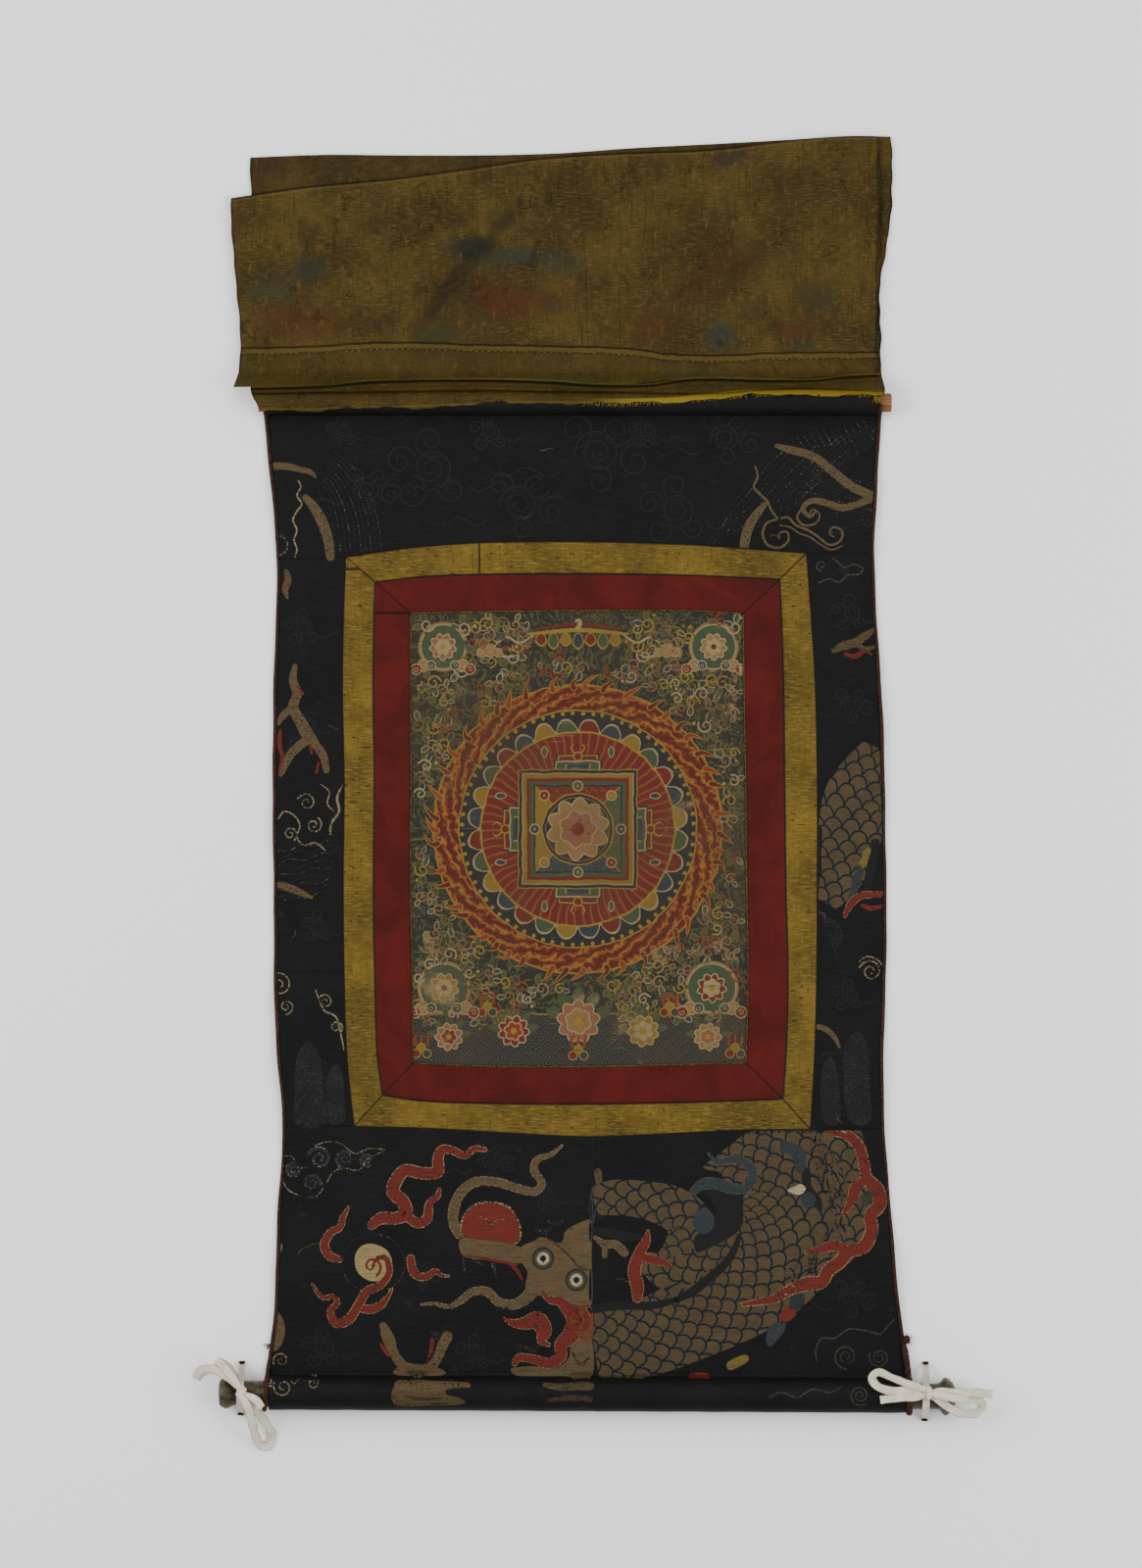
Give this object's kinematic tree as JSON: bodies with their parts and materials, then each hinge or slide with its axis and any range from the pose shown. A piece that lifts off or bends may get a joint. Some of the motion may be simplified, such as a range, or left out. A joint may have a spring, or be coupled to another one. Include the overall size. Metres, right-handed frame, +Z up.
{
  "type": "thangka scroll painting",
  "caption": "Hanging scroll painting laid flat: painted cloth in silk borders on a dark brocade ground, with a rod and knobs at the foot, a dowel at the top, a folded veil and tape ties.",
  "frame": {"origin": "middle of the whole object's outline, on the surface that it lies on", "axes": "+X to the right across the scroll, +Y towards its top and the veil, +Z up out of the painted face"},
  "size_m": [0.816, 1.3412, 0.047],
  "materials": {
    "painted_cloth": "matt distemper paint on sized cotton",
    "red_silk": "crimson damask silk, soft sheen",
    "yellow_silk": "mustard plain silk, soft sheen",
    "black_brocade": "blue-black silk brocade with gold, red and blue figures",
    "edge_cord": "dark red-brown twisted silk cord, frayed",
    "veil_silk": "thin olive-gold silk with blue and red stains",
    "cotton_tape": "off-white twill tape",
    "rod_wood": "plain worn softwood",
    "bronze": "dark patinated bronze with brassy wear"
  },
  "bodies": {
    "root": {"brocade_foot_left": "black_brocade", "brocade_foot_right": "black_brocade", "brocade_left": "black_brocade", "brocade_left_low": "black_brocade", "brocade_right": "black_brocade", "brocade_top_left": "black_brocade", "brocade_top_right": "black_brocade", "dowel": "rod_wood", "edge_cord_left": "edge_cord", "edge_cord_right": "edge_cord", "knob_left": "bronze", "knob_right": "bronze", "painting": "painted_cloth", "red_border_foot": "red_silk", "red_border_left": "red_silk", "red_border_left_corner": "red_silk", "red_border_right": "red_silk", "red_border_top": "red_silk", "rod": "rod_wood", "tie_left": "cotton_tape", "tie_right": "cotton_tape", "veil": "veil_silk", "yellow_border_foot": "yellow_silk", "yellow_border_left": "yellow_silk", "yellow_border_left_corner": "yellow_silk", "yellow_border_right": "yellow_silk", "yellow_border_top_left": "yellow_silk", "yellow_border_top_right": "yellow_silk"}
  },
  "joints": []
}
